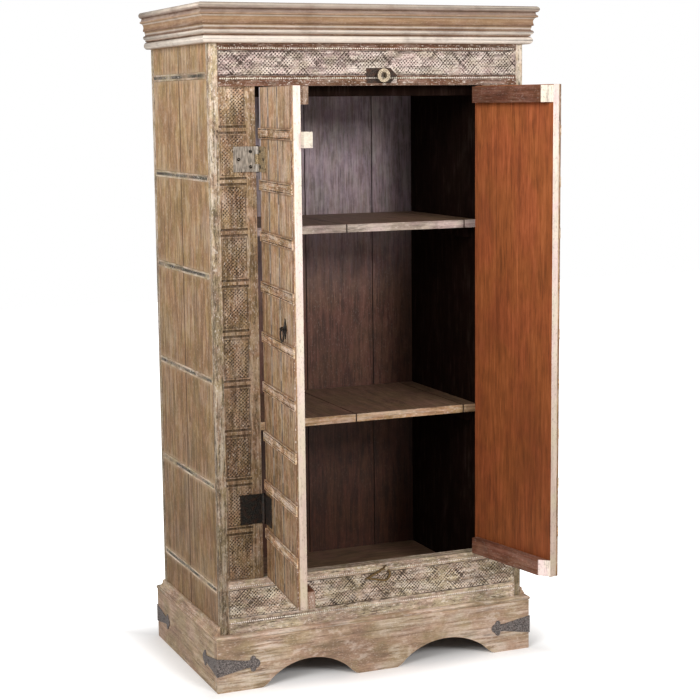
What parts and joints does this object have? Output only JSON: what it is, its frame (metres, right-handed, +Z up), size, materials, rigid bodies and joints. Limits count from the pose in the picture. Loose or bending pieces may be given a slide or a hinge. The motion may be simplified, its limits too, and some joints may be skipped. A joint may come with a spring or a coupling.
{
  "type": "storage cabinet",
  "caption": "Tall reclaimed-wood cabinet with hinged plank doors, a carved frame, moulded cornice, open shelves and an arched plinth with iron corner straps.",
  "frame": {"origin": "on the floor under the middle foot of the front plinth board, halfway through its thickness", "axes": "+Z up, -Y out of the front, +X to the right of a person who faces the doors"},
  "size_m": [0.982, 0.9057, 1.83],
  "materials": {
    "limed_moulding": "limewashed moulding, rubbed back to bare wood on the edges",
    "roof_wood": "plain sawn boards, left dull",
    "plinth_wood": "sanded planks with lengthwise grain and traces of old lime",
    "plinth_cap_wood": "waxed edge moulding, pale on the front arris",
    "post_wood": "weathered posts with cream lime in the grain",
    "side_plank_wood": "dull planks with upright grain",
    "side_rail_wood": "dark grey rails with chipped carving",
    "carved_stile_wood": "old carved timber, honey brown with dark pits",
    "carved_frieze_wood": "old carved timber with pale lime in the pattern",
    "carved_apron_wood": "old carved timber, worn pale",
    "door_wood": "old planks, limed outside and bare red-brown inside",
    "crossband_wood": "carved bands, worn",
    "batten_wood": "dark battens with pale end grain",
    "pale_wood": "pale painted block",
    "interior_wood": "dark stained boards",
    "shelf_wood": "stained boards with worn, paler front edges",
    "strap_iron": "hammered grey iron",
    "galvanised_steel": "dull zinc coat",
    "black_iron": "black iron, rubbed brown on the edges",
    "worn_iron": "bare iron, polished by handling"
  },
  "bodies": {
    "carcass": {"apron_mouldings": "carved_apron_wood", "apron_rail": "carved_apron_wood", "apron_staple": "worn_iron", "back_battens": "interior_wood", "back_planks": "interior_wood", "base_mouldings": "plinth_cap_wood", "cornice_back": "roof_wood", "cornice_front": "limed_moulding", "cornice_left": "limed_moulding", "cornice_lid": "roof_wood", "cornice_right": "limed_moulding", "door_stop_rail": "interior_wood", "floor_board": "interior_wood", "frieze_mouldings": "carved_frieze_wood", "frieze_rail": "carved_frieze_wood", "hinge_lower_frame_leaves": "black_iron", "hinge_pins": "black_iron", "hinge_upper_frame_leaves": "galvanised_steel", "lining_left": "interior_wood", "lining_right": "interior_wood", "plinth_back": "roof_wood", "plinth_cap_front": "plinth_cap_wood", "plinth_cap_returns": "plinth_cap_wood", "plinth_corner_blocks": "roof_wood", "plinth_front": "plinth_wood", "plinth_left": "plinth_wood", "plinth_right": "plinth_wood", "post_front_left": "post_wood", "post_front_right": "post_wood", "posts_back": "post_wood", "ring_eye": "worn_iron", "ring_plate": "black_iron", "roof_board": "roof_wood", "shelf_cleats": "interior_wood", "shelf_lower": "shelf_wood", "shelf_upper": "shelf_wood", "side_planks_left": "side_plank_wood", "side_planks_right": "side_plank_wood", "side_rails_left": "side_rail_wood", "side_rails_right": "side_rail_wood", "stile_left": "carved_stile_wood", "stile_right": "carved_stile_wood", "strap_front_left": "strap_iron", "strap_front_right": "strap_iron", "strap_nails": "strap_iron", "straps_back": "strap_iron"},
    "left_door": {"door_left_planks": "door_wood", "door_left_crossbands": "crossband_wood", "door_left_battens": "batten_wood", "door_left_stop_block": "pale_wood", "door_left_pull_plate": "black_iron", "door_left_hinge_leaves": "black_iron"},
    "right_door": {"door_right_planks": "door_wood", "door_right_crossbands": "crossband_wood", "door_right_battens": "batten_wood", "door_right_pull_plate": "black_iron", "door_right_hinge_leaves": "black_iron"},
    "left_pull_ring": {"door_left_pull_ring": "black_iron"},
    "right_pull_ring": {"door_right_pull_ring": "black_iron"},
    "apron_loop": {"apron_loop": "black_iron"}
  },
  "joints": [
    {"name": "left_door_hinge", "type": "hinge", "parent": "carcass", "child": "left_door", "pos_m": [-0.3305, -0.0005, 0.96], "axis": [0, 0, 1], "range_deg": [-74, 96]},
    {"name": "right_door_hinge", "type": "hinge", "parent": "carcass", "child": "right_door", "pos_m": [0.3305, -0.0005, 0.96], "axis": [0, 0, 1], "range_deg": [-101, 69]},
    {"name": "left_pull_swing", "type": "hinge", "parent": "left_door", "child": "left_pull_ring", "pos_m": [-0.35907, -0.23882, 1.01188], "axis": [0.1045, 0.9945, 0], "range_deg": [-4, 100]},
    {"name": "right_pull_swing", "type": "hinge", "parent": "right_door", "child": "right_pull_ring", "pos_m": [0.37973, -0.23542, 1.01188], "axis": [0.1908, -0.9816, 0], "range_deg": [-4, 100]},
    {"name": "apron_loop_swing", "type": "hinge", "parent": "carcass", "child": "apron_loop", "pos_m": [0.026, -0.0035, 0.29], "axis": [0, -1, 0], "range_deg": [-5, 155]}
  ]
}
